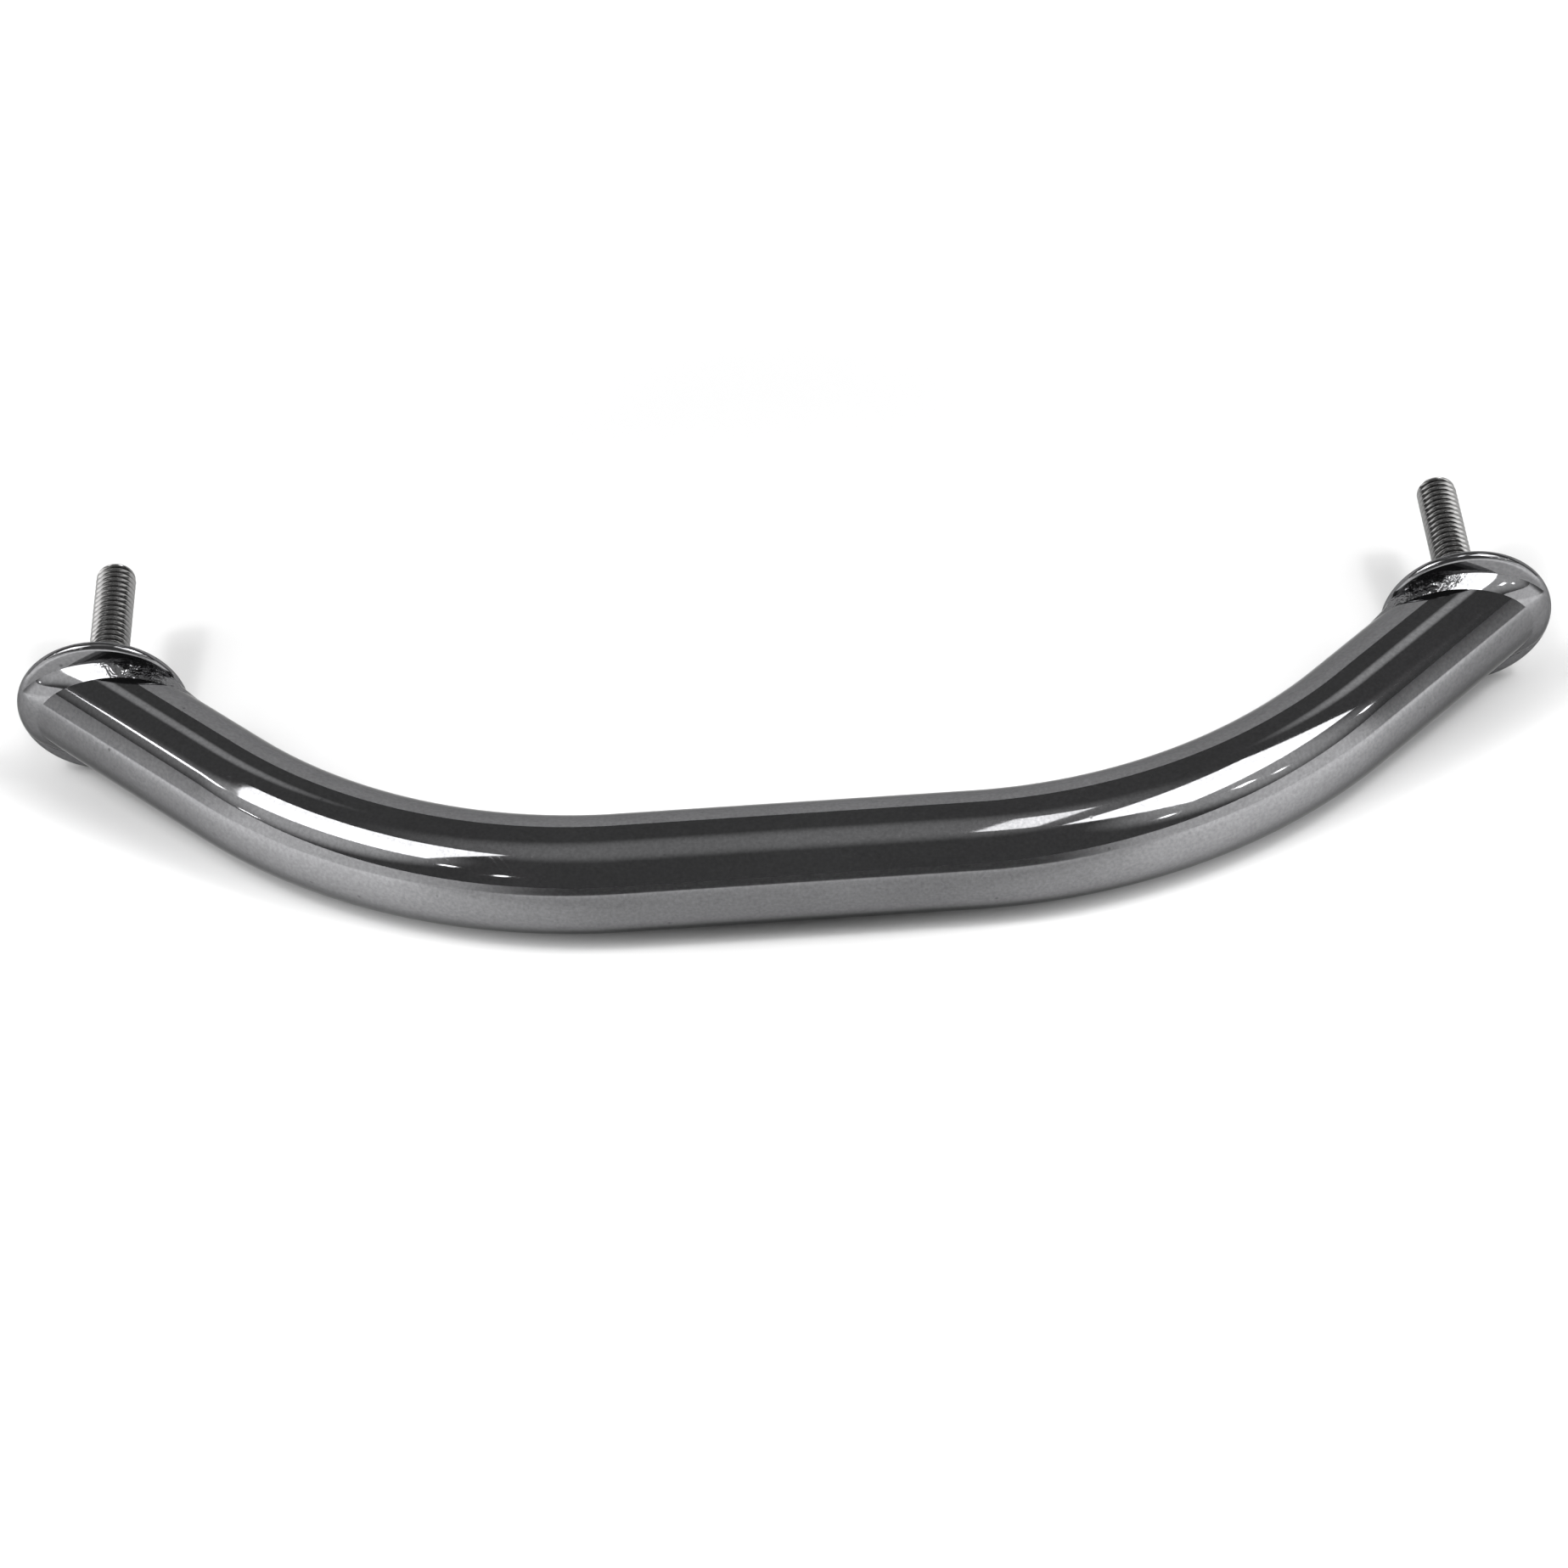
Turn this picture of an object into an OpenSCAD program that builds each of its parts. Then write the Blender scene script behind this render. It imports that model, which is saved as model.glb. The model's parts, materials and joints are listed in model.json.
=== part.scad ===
// Stud-mounted grab rail: a bent round tube standing on two flanges, each with a threaded stud.
// X runs along the rail and Z runs across it. The mounting face is the plane y = 0, the studs
// point to +Y, into the surface that the rail is bolted to, and the hand grip bows out to -Y.
// The origin is on the mounting face, midway between the studs.

/* [Rail] */
// Distance between the axes of the two studs
stud_spacing = 266.7; // [236:0.1:520]
// Height over the mounting face of the grip's outer side
rail_height = 66.7; // [58:0.1:77]
// Outer diameter of the tube
tube_od = 22.2; // [18:0.1:26]
// Wall thickness of the tube
tube_wall = 1.5; // [1:0.1:2.5]
// Radius of each bend, along the tube's centre line
bend_r = 108; // [70:1:130]
// Angle between a leg and the mounting face
leg_angle = 43; // [38:0.5:50]
// Height over the mounting face at which a leg's axis crosses its stud's axis
leg_cross = 1.8; // [0:0.1:3.5]
// How far the tube's skin draws in round a bend
bend_draw = 0.03; // [0.02:0.01:0.1]

/* [Flanges] */
// Thickness of a flange
flange_t = 2.2; // [1.8:0.1:4.4]
// How far a flange stands out past the inner end of the leg's slanted foot
flange_lip = 0.05; // [0:0.05:3]
// Width of the flat ring that bears on the mounting surface
land_w = 2.9; // [1.8:0.1:5]
// Depth of the sealant recess inside that ring
recess_depth = 0.7; // [0.4:0.1:1.3]
// Slope of the recess's wall, as run for its depth
recess_draft = 0.9; // [0.5:0.1:1.8]

/* [Studs] */
// Outer diameter of the thread
stud_d = 7.94; // [6:0.01:9]
// Length of a stud past the mounting face
stud_length = 37; // [20:0.5:80]
// Chamfer at the stud's tip
stud_chamfer = 1.4; // [0.5:0.1:2]
// Diameter of the plain shoulder that fills the flange's hole
shoulder_d = 9.2; // [8.2:0.1:12]
// Diameter of the head inside the tube
head_d = 12.4; // [10.6:0.1:15]
// Thickness of the head
head_t = 2.6; // [1.5:0.1:4.4]
// Chamfer round the head's edge
head_chamfer = 0.5; // [0.2:0.1:1]

/* [Welds] */
// How far the neck weld runs up the leg's two sides
neck_run = 4.2; // [2.6:0.1:7]
// How far it runs up the leg's outer end
neck_run_out = 4.4; // [1.8:0.1:7]
// How far it runs up the leg's inner side, before it dies out at the foot's inner tip
neck_run_in = 8.4; // [3:0.1:12]
// How far the neck weld runs out over the flange
neck_leg = 2.2; // [1.8:0.1:5.2]
// Bare rim left outside the neck weld
neck_inset = 0.3; // [0.2:0.05:0.9]
// Fullness of the neck weld at the leg's sides and outer end, from a hollow fillet to a flat one
neck_fullness = 0.95; // [0.1:0.05:1]
// Its fullness at the leg's inner side
neck_fullness_in = 0.8; // [0.1:0.05:1]
// How far the weld stands proud at the leg's outer end
neck_crown = 0.6; // [0:0.05:0.9]
// How far the stud weld runs out over the floor of the recess
bead_leg = 1.6; // [0.8:0.1:2.6]
// Gap kept between the stud weld and the mounting surface
bead_clearance = 0.1; // [0.05:0.05:0.3]

/* [Quality] */
// Faces round the tube and its bends
tube_faces = 256; // [128:4:256]
// Sections round a neck weld
neck_sections = 60; // [36:4:72]
// Steps across the hollow of a weld
fillet_steps = 6; // [4:1:10]

/* [Hidden] */

stud_x = stud_spacing / 2;
tube_r = tube_od / 2;
bore_r = tube_r - tube_wall;
grip_h = rail_height - tube_r;

// The rail's centre line: a straight grip, a bend and a straight leg on each side
bend_tangent = bend_r * tan(leg_angle / 2);
grip_half = stud_x - (grip_h - leg_cross) / tan(leg_angle) - bend_tangent;
leg_length = (grip_h - bend_r * (1 - cos(leg_angle))) / sin(leg_angle);
// A straight run reaches this far into a bend, so that the two are one piece
bend_lap = 0.1;
// A leg is cut this much too long, so that the trim leaves its whole foot
leg_spare = tube_r / tan(leg_angle) + flange_t;

// The slanted foot of a leg on the flange's top: an ellipse, measured from the stud's axis
foot_a = tube_r / sin(leg_angle);
foot_shift = (flange_t - leg_cross) / tan(leg_angle);

// The flange has a full round rim, as thick as the flange
rim_r = flange_t / 2;
flange_r = foot_a + foot_shift + flange_lip;
flat_r = flange_r - rim_r;
recess_r = flat_r - land_w;

stud_r = stud_d / 2;
shoulder_r = shoulder_d / 2;
head_r = head_d / 2;

// How deep the neck weld's hidden sides reach into the tube's wall and the flange, before trimming
neck_bite = 0.6 * tube_wall;
// How far its two edges are sunk below the tube's skin and the flange, so that surfaces cross cleanly
neck_sink = 0.12;
// Part of a turn over which the neck weld dies out towards the inner end of the foot
neck_fade = 30;
// Larger than the whole rail, for trimming
beyond = stud_spacing + 2 * rail_height;

stud_faces = 96;

steel_bright = [0.80, 0.81, 0.82];
steel_base = [0.72, 0.73, 0.75];
steel_thread = [0.60, 0.60, 0.61];
steel_weld = [0.76, 0.76, 0.76];

// Places its children on the right-hand stud axis, with their Z along -Y, away from the wall
module at_right_foot() {
    translate([stud_x, 0, 0]) rotate([90, 0, 0]) children();
}

module at_left_foot() {
    mirror([1, 0, 0]) at_right_foot() children();
}

// ---- Tube ----

module tube_ring(r_out, r_in) {
    difference() {
        circle(r = r_out, $fn = tube_faces);
        if (r_in > 0) circle(r = r_in, $fn = tube_faces);
    }
}

// A straight run of tube along +Y, with its section's seam on the side away from the wall
module straight(length, r_in) {
    rotate([-90, 0, 0]) linear_extrude(length) tube_ring(tube_r, r_in);
}

module grip() {
    translate([-grip_half - bend_lap, -grip_h, 0]) rotate([0, 0, -90])
        straight(2 * (grip_half + bend_lap), bore_r);
}

// Puts its children at the right-hand bend's centre, in the frame of the rail
module at_bend_centre() {
    translate([grip_half, bend_r - grip_h, 0]) children();
}

module bend() {
    at_bend_centre() rotate_extrude(angle = leg_angle, start = -90, $fn = tube_faces)
        translate([bend_r, 0]) tube_ring(tube_r - bend_draw, bore_r - bend_draw);
}

// The right-hand leg, from just inside the bend to past its foot
module leg(r_in) {
    at_bend_centre() rotate([0, 0, leg_angle - 90]) translate([bend_r, -bend_lap, 0])
        straight(bend_lap + leg_length + leg_spare, r_in);
}

// Everything on the wall's side of the plane in which the tube's feet are cut
module foot_trim() {
    translate([-beyond / 2, -flange_t, -beyond / 2]) cube(beyond);
}

module rail_tube() {
    color(steel_bright) difference() {
        union() {
            grip();
            for (side = [0, 1]) mirror([side, 0, 0]) {
                bend();
                leg(bore_r);
            }
        }
        foot_trim();
    }
}

// The right-hand leg as a solid bar, down to its foot
module leg_outside() {
    difference() {
        leg(0);
        foot_trim();
    }
}

// ---- Flanges ----

module flange() {
    rotate_extrude($fn = tube_faces) difference() {
        union() {
            translate([flat_r, rim_r]) circle(r = rim_r, $fn = stud_faces);
            square([flat_r, flange_t]);
        }
        // the stud's hole
        translate([0, -flange_t]) square([shoulder_r, 3 * flange_t]);
        // the sealant recess
        polygon([
            [0, -flange_t],
            [recess_r + recess_draft, -flange_t],
            [recess_r + recess_draft, 0],
            [recess_r, recess_depth],
            [0, recess_depth]
        ]);
    }
}

module left_flange() {
    color(steel_base) at_left_foot() flange();
}

module right_flange() {
    color(steel_base) at_right_foot() flange();
}

// ---- Studs ----

// Tip down in its own frame, because Z points away from the wall
module stud() {
    rotate_extrude($fn = stud_faces) polygon([
        [0, -stud_length],
        [stud_r - stud_chamfer, -stud_length],
        [stud_r, stud_chamfer - stud_length],
        [stud_r, 0],
        [shoulder_r, 0],
        [shoulder_r, flange_t],
        [head_r, flange_t],
        [head_r, flange_t + head_t - head_chamfer],
        [head_r - head_chamfer, flange_t + head_t],
        [0, flange_t + head_t]
    ]);
}

module left_stud() {
    color(steel_thread) at_left_foot() stud();
}

module right_stud() {
    color(steel_thread) at_right_foot() stud();
}

// ---- Neck welds: the hollow fillet between a leg's slanted foot and its flange ----

// Height of the flange's upper surface at a distance from the stud's axis
function rim_h(r) = r <= flat_r ? flange_t
    : rim_r + sqrt(max(0, rim_r * rim_r - (r - flat_r) * (r - flat_r)));

// A point on a leg's skin, at a turn round it and a distance up from the foot's edge,
// raised off the skin by lift. The turn is 0 at the foot's outer end.
function skin(turn, up, lift) =
    let (across = foot_a + lift / sin(leg_angle))
    [across * cos(turn) - foot_shift - up * cos(leg_angle),
     (tube_r + lift) * sin(turn),
     flange_t + up * sin(leg_angle)];

// From 0 at the leg's sides to 1 at its outer end
function outward(turn) = max(0, cos(turn));

// A size of the weld at a turn, from its values at the leg's sides, its outer end and its inner end
function round_leg(turn, side, outer, inner) =
    side + (outer - side) * pow(outward(turn), 2) + (inner - side) * pow(outward(180 - turn), 2);

// How far up the leg the weld runs at a turn: it dies out at the foot's inner end
function neck_up(turn) =
    let (left = min(1, (180 - abs(turn)) / neck_fade))
    round_leg(turn, neck_run, neck_run_out, neck_run_in) * left * left * (3 - 2 * left);

// Where the weld ends on the flange, seen along the stud's axis
function neck_toe(turn) =
    let (
        edge = skin(turn, 0, 0),
        edge_r = norm([edge[0], edge[1]]),
        r = min(edge_r + neck_leg, flange_r - neck_inset)
    )
    [edge[0] * r / edge_r, edge[1] * r / edge_r, rim_h(r) - neck_sink];

// One closed section of the weld: its hollow face, then its hidden sides
function neck_section(turn) =
    let (
        toe = neck_toe(turn),
        top = skin(turn, neck_up(turn), -neck_sink),
        root = skin(turn, 0, 0),
        fullness = round_leg(turn, neck_fullness, neck_fullness, neck_fullness_in),
        crown = skin(turn, 0, 2 * neck_crown * outward(turn)) - root,
        pull = root * (1 - fullness) + (toe + top) / 2 * fullness + crown,
        face = [for (i = [0:fillet_steps]) let (s = i / fillet_steps)
            toe * (1 - s) * (1 - s) + pull * 2 * s * (1 - s) + top * s * s],
        in_wall = skin(turn, neck_up(turn), -neck_bite),
        in_corner = skin(turn, 0, -neck_bite) - [0, 0, neck_bite],
        under_toe = toe - [0, 0, neck_bite]
    )
    concat(face, [in_wall, in_corner, under_toe]);

module neck_ring() {
    across = fillet_steps + 4;
    sections = [for (i = [0:neck_sections - 1]) neck_section(i * 360 / neck_sections - 180)];
    polyhedron(
        points = [for (section = sections) each section],
        faces = [for (i = [0:neck_sections - 1], j = [0:across - 1])
            let (
                here = i * across,
                next = (i + 1) % neck_sections * across,
                k = (j + 1) % across
            )
            each [[here + j, next + j, next + k], [here + j, next + k, here + k]]]
    );
}

module right_neck() {
    difference() {
        at_right_foot() neck_ring();
        leg_outside();
        at_right_foot() flange();
    }
}

module left_neck_weld() {
    color(steel_weld) mirror([1, 0, 0]) right_neck();
}

module right_neck_weld() {
    color(steel_weld) right_neck();
}

// ---- Stud welds: a bead round each shoulder, inside the recess ----

module stud_bead() {
    bead_h = recess_depth - bead_clearance;
    rotate_extrude($fn = stud_faces) polygon(concat(
        [[shoulder_r, recess_depth]],
        [for (i = [0:fillet_steps]) let (s = i / fillet_steps)
            [shoulder_r + bead_leg * (1 - s) * (1 - s), recess_depth - bead_h * s * s]]
    ));
}

module left_stud_weld() {
    color(steel_weld) at_left_foot() stud_bead();
}

module right_stud_weld() {
    color(steel_weld) at_right_foot() stud_bead();
}

rail_tube();
left_flange();
right_flange();
left_stud();
right_stud();
left_neck_weld();
right_neck_weld();
left_stud_weld();
right_stud_weld();
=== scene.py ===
"""Looks of a stud-mounted grab rail: the polished tube, flanges, welds and threaded studs."""

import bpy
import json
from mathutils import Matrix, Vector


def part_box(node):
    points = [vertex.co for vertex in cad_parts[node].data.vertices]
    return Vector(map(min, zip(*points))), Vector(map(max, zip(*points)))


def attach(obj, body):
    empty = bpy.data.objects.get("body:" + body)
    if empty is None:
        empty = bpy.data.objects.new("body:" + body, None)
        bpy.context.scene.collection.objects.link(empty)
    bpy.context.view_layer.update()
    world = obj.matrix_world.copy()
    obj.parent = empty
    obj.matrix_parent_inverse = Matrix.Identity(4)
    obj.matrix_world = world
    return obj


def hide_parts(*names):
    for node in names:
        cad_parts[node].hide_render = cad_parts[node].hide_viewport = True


bl_info = {
    "name": "Grab Rail",
    "version": (1, 0, 0),
    "blender": (4, 5, 0),
    "location": "3D View > Sidebar > Grab Rail",
    "description": "Builds a grab rail's polished steel pieces round its fixed frame, and a studio",
    "category": "Object",
}

import json
import math

import bpy
import numpy as np
from mathutils import Matrix, Vector, noise
from bpy.props import (
    FloatProperty, FloatVectorProperty, IntProperty, PointerProperty,
)

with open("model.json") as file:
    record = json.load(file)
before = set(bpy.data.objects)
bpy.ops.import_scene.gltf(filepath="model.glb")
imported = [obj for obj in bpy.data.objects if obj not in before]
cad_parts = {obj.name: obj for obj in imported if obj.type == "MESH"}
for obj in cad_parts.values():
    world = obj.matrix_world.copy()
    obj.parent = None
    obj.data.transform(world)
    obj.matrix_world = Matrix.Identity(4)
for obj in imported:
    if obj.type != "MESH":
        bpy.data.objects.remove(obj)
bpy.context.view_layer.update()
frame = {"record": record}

MM = 0.001
SIDES = {"left": -1, "right": 1}

# Edges that turn by more than this are shaded sharp
SHARP = math.radians(35)
# Points closer than this become one, which closes a swept grid's seams
SEAM = 0.002 * MM

# ---- Sizes that the frame already holds ----

MOUNTS = {mount["name"]: mount for mount in frame["record"]["mounts"]}
STUD_X = MOUNTS["studs"]["dims"]["spacing_x_mm"] * MM / 2
THREAD_R = MOUNTS["studs"]["dims"]["stud_r_mm"] * MM

TUBE_LOW, TUBE_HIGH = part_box("rail_tube")
TUBE_R = (TUBE_HIGH.z - TUBE_LOW.z) / 2
RAIL_HEIGHT = -TUBE_LOW.y

FLANGE_LOW, FLANGE_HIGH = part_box("right_flange")
FLANGE_T = FLANGE_HIGH.y - FLANGE_LOW.y
FLANGE_R = (FLANGE_HIGH.z - FLANGE_LOW.z) / 2

STUD_LOW, STUD_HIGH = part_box("right_stud")
STUD_LENGTH = STUD_HIGH.y
HEAD_R = (STUD_HIGH.z - STUD_LOW.z) / 2
HEAD_TOP = -STUD_LOW.y

BEAD_LOW, BEAD_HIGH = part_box("right_stud_weld")
BEAD_R = (BEAD_HIGH.z - BEAD_LOW.z) / 2
BEAD_LEVEL = -BEAD_HIGH.y
RECESS_DEPTH = -BEAD_LOW.y

# Length of a neck weld's UV map, which runs from its inner end round the outer one and back.
# A leg's slanted foot is about 1.2 times as long round as the tube
NECK_ROUND = 2 * math.pi * TUBE_R * 1.2

# Places a piece that is modelled on a stud's axis, with its Z away from the wall
AT_FOOT = {
    name: Matrix.Translation((side * STUD_X, 0, 0)) @ Matrix.Rotation(math.pi / 2, 4, "X")
    for name, side in SIDES.items()
}


# ---- Sizes and colours that a user would change ----


class RailSettings(bpy.types.PropertyGroup):
    """Form of the bent tube and of the weld at its feet."""

    wall: FloatProperty(
        name="Wall", description="Wall thickness of the tube",
        default=1.5 * MM, min=1 * MM, max=2.5 * MM, unit="LENGTH",
    )
    bend_radius: FloatProperty(
        name="Bend radius", description="Radius of each bend along the tube's centre line",
        default=108 * MM, min=70 * MM, max=130 * MM, unit="LENGTH",
    )
    leg_angle: FloatProperty(
        name="Leg angle", description="Angle between a leg and the mounting face",
        default=math.radians(43), min=math.radians(38), max=math.radians(50), subtype="ANGLE",
    )
    leg_cross: FloatProperty(
        name="Leg crossing", description="Height at which a leg's axis crosses its stud's axis",
        default=1.8 * MM, min=0, max=3.5 * MM, unit="LENGTH",
    )
    rings: IntProperty(
        name="Rings", description="Rings of faces along the tube", default=240, min=60, max=400,
    )
    faces_round: IntProperty(
        name="Faces round", description="Faces round the tube", default=160, min=32, max=200,
    )
    weld_run: FloatProperty(
        name="Weld run", description="How far the neck weld runs up the leg's sides",
        default=4.2 * MM, min=2.6 * MM, max=7 * MM, unit="LENGTH",
    )
    weld_run_out: FloatProperty(
        name="Outer weld run", description="How far it runs up the leg's outer end",
        default=4.4 * MM, min=1.8 * MM, max=7 * MM, unit="LENGTH",
    )
    weld_run_in: FloatProperty(
        name="Inner weld run", description="How far it runs up the leg's inner side, where it dies out",
        default=8.4 * MM, min=3 * MM, max=12 * MM, unit="LENGTH",
    )
    weld_leg: FloatProperty(
        name="Weld leg", description="How far the neck weld runs out over the flange",
        default=1.4 * MM, min=1 * MM, max=5.2 * MM, unit="LENGTH",
    )
    weld_inset: FloatProperty(
        name="Bare rim", description="Bare rim of the flange outside the neck weld",
        default=0.3 * MM, min=0.2 * MM, max=0.9 * MM, unit="LENGTH",
    )
    weld_fullness: FloatProperty(
        name="Weld fullness",
        description="From a hollow neck weld to a flat one, at the leg's sides and end",
        default=0.95, min=0.1, max=1, subtype="FACTOR",
    )
    weld_fullness_in: FloatProperty(
        name="Inner weld fullness", description="The same at the leg's inner side",
        default=0.8, min=0.1, max=1, subtype="FACTOR",
    )
    weld_lumps: FloatProperty(
        name="Weld lumps", description="Height of the lumps in the weld at the leg's inner side",
        default=0.3 * MM, min=0, max=0.6 * MM, unit="LENGTH",
    )
    lump_size: FloatProperty(
        name="Lump size", description="Size of those lumps",
        default=1.5 * MM, min=0.8 * MM, max=4 * MM, unit="LENGTH",
    )
    weld_crown: FloatProperty(
        name="Weld crown", description="How far the neck weld stands proud at the leg's outer end",
        default=0.6 * MM, min=0, max=0.9 * MM, unit="LENGTH",
    )


class FlangeSettings(bpy.types.PropertyGroup):
    """Form of the flanges' undersides."""

    land: FloatProperty(
        name="Land", description="Width of the flat ring that bears on the mounting surface",
        default=2.9 * MM, min=1.8 * MM, max=5 * MM, unit="LENGTH",
    )
    recess_draft: FloatProperty(
        name="Recess draft", description="Slope of the sealant recess's wall, as run for its depth",
        default=0.9 * MM, min=0.5 * MM, max=1.8 * MM, unit="LENGTH",
    )
    faces_round: IntProperty(
        name="Faces round", description="Faces round a flange", default=256, min=64, max=360,
    )


class StudSettings(bpy.types.PropertyGroup):
    """Form of the threaded studs and of the weld beads that hold them."""

    pitch: FloatProperty(
        name="Pitch", description="Distance from one thread crest to the next",
        default=25.4 / 18 * MM, min=0.8 * MM, max=2 * MM, unit="LENGTH",
    )
    thread_depth: FloatProperty(
        name="Thread depth", description="Depth of the thread as a share of its pitch",
        default=0.58, min=0.3, max=0.65, subtype="FACTOR",
    )
    tip: FloatProperty(
        name="Tip", description="Length of the rounded tip",
        default=1.7 * MM, min=0.3 * MM, max=2.5 * MM, unit="LENGTH",
    )
    shoulder_r: FloatProperty(
        name="Shoulder radius", description="Radius of the plain shoulder in the flange's hole",
        default=4.6 * MM, min=4.1 * MM, max=6 * MM, unit="LENGTH",
    )
    head_chamfer: FloatProperty(
        name="Head chamfer", description="Chamfer round the head inside the tube",
        default=0.5 * MM, min=0.2 * MM, max=1 * MM, unit="LENGTH",
    )
    rows_per_pitch: IntProperty(
        name="Rows per pitch", description="Rows of faces across one thread", default=12, min=6, max=16,
    )
    faces_round: IntProperty(
        name="Faces round", description="Faces round a stud", default=72, min=24, max=96,
    )
    ripples: IntProperty(
        name="Ripples", description="Ripples round a stud's weld bead", default=34, min=12, max=60,
    )


class FinishSettings(bpy.types.PropertyGroup):
    """Colours and roughness of the steel."""

    polished: FloatVectorProperty(
        name="Polished steel", description="Colour of the polished tube, flanges and neck welds",
        default=(0.165, 0.165, 0.169), min=0, max=1, subtype="COLOR",
    )
    thread: FloatVectorProperty(
        name="Thread steel", description="Colour of the rolled thread",
        default=(0.32, 0.317, 0.314), min=0, max=1, subtype="COLOR",
    )
    ground: FloatVectorProperty(
        name="Ground steel", description="Colour of the flanges' ground undersides",
        default=(0.24, 0.24, 0.24), min=0, max=1, subtype="COLOR",
    )
    weld: FloatVectorProperty(
        name="Weld", description="Colour of the cleaned weld beads",
        default=(0.36, 0.34, 0.31), min=0, max=1, subtype="COLOR",
    )
    polish_roughness: FloatProperty(
        name="Polish roughness", description="Roughness of the polished steel",
        default=0.05, min=0.02, max=0.4, subtype="FACTOR",
    )


class StudioSettings(bpy.types.PropertyGroup):
    """Floor, lamps and camera."""

    floor_color: FloatVectorProperty(
        name="Floor", description="Colour of the floor and of the backdrop it runs up into",
        default=(0.79, 0.79, 0.79), min=0, max=1, subtype="COLOR",
    )
    floor_radius: FloatProperty(
        name="Floor radius", description="Radius of the flat part of the floor",
        default=2.6, min=1, max=6, unit="LENGTH",
    )
    backdrop_height: FloatProperty(
        name="Backdrop height", description="Height of the backdrop round the floor",
        default=1.45, min=0.2, max=3, unit="LENGTH",
    )
    room_color: FloatVectorProperty(
        name="Room", description="Colour of the dim room over the backdrop",
        default=(0.205, 0.205, 0.205), min=0, max=1, subtype="COLOR",
    )
    soft_box_power: FloatProperty(
        name="Soft box power",
        description="Power in watts of which the lamps beside and over the rail take their shares",
        default=3.8, min=0.5, max=60,
    )
    camera_distance: FloatProperty(
        name="Camera distance", description="Distance from the camera to the point it aims at",
        default=0.8140, min=0.3, max=3, unit="LENGTH",
    )
    camera_azimuth: FloatProperty(
        name="Camera azimuth", description="Direction in which the camera looks, from +Y towards +X",
        default=math.radians(-0.119), subtype="ANGLE",
    )
    camera_elevation: FloatProperty(
        name="Camera elevation", description="Height of the camera over the rail's own plane",
        default=math.radians(44.856), subtype="ANGLE",
    )
    camera_roll: FloatProperty(
        name="Camera roll", description="Turn of the camera about its own axis",
        default=math.radians(-3.835), subtype="ANGLE",
    )
    camera_aim: FloatVectorProperty(
        name="Camera aim", description="The point in the middle of the picture",
        default=(-1.63 * MM, -24.59 * MM, -10.36 * MM), subtype="XYZ", unit="LENGTH",
    )
    lens: FloatProperty(
        name="Lens", description="Focal length in millimetres on a 36 mm sensor",
        default=96.715, min=20, max=300,
    )


# ---- Arithmetic in node trees ----


class Term:
    """A number inside a node tree. Plain arithmetic on it adds Math nodes to the tree."""

    def __init__(self, tree, socket):
        self.tree = tree
        self.socket = socket

    def step(self, operation, *others, swapped=False):
        node = self.tree.nodes.new("ShaderNodeMath")
        node.operation = operation
        values = [self, *others]
        if swapped:
            values.reverse()
        for value, socket in zip(values, node.inputs):
            plug(self.tree, socket, value)
        return Term(self.tree, node.outputs[0])

    def __add__(self, other):
        return self.step("ADD", other)

    __radd__ = __add__

    def __sub__(self, other):
        return self.step("SUBTRACT", other)

    def __rsub__(self, other):
        return self.step("SUBTRACT", other, swapped=True)

    def __mul__(self, other):
        return self.step("MULTIPLY", other)

    def __truediv__(self, other):
        return self.step("DIVIDE", other)

    def __neg__(self):
        return self * -1

    def sin(self):
        return self.step("SINE")

    def cos(self):
        return self.step("COSINE")

    def size(self):
        return self.step("ABSOLUTE")

    def root(self):
        return self.step("SQRT")

    def at_least(self, other):
        return self.step("MAXIMUM", other)

    def at_most(self, other):
        return self.step("MINIMUM", other)

    def over(self, other):
        """1 where this is more than the other, 0 elsewhere."""
        return self.step("GREATER_THAN", other)

    def eased(self, low, high):
        """0 at low, 1 at high, and a smooth step between."""
        node = self.tree.nodes.new("ShaderNodeMapRange")
        node.interpolation_type = "SMOOTHSTEP"
        for name, value in (("Value", self), ("From Min", low), ("From Max", high)):
            plug(self.tree, node.inputs[name], value)
        return Term(self.tree, node.outputs["Result"])


def plug(tree, socket, value):
    """Sets a socket to a number, or links it to an earlier step."""
    if isinstance(value, Term):
        tree.links.new(value.socket, socket)
    elif isinstance(value, bpy.types.NodeSocket):
        tree.links.new(value, socket)
    else:
        socket.default_value = value


def new_node(tree, kind, inputs=(), **attributes):
    """Adds a node, sets its attributes, then its inputs, which are given by name or number."""
    node = tree.nodes.new(kind)
    for name, value in attributes.items():
        setattr(node, name, value)
    for name, value in dict(inputs).items():
        plug(tree, node.inputs[name], value)
    return node


def new_tree(name, kind, inputs, outputs):
    """A node tree or group with named sockets, and its input node's terms by name."""
    tree = bpy.data.node_groups.new(name, kind)
    for title, socket_type in inputs.items():
        tree.interface.new_socket(title, in_out="INPUT", socket_type="NodeSocket" + socket_type)
    for title, socket_type in outputs.items():
        tree.interface.new_socket(title, in_out="OUTPUT", socket_type="NodeSocket" + socket_type)
    entry = tree.nodes.new("NodeGroupInput")
    terms = {title: Term(tree, entry.outputs[title]) for title in inputs}
    return tree, terms


def end_tree(tree, values):
    leave = tree.nodes.new("NodeGroupOutput")
    for title, value in values.items():
        plug(tree, leave.inputs[title], value)


# ---- Meshes ----


def put(name, data):
    """Makes an object of a mesh, a lamp or a camera, and puts it in the scene."""
    item = bpy.data.objects.new(name, data)
    bpy.context.scene.collection.objects.link(item)
    return item


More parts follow.
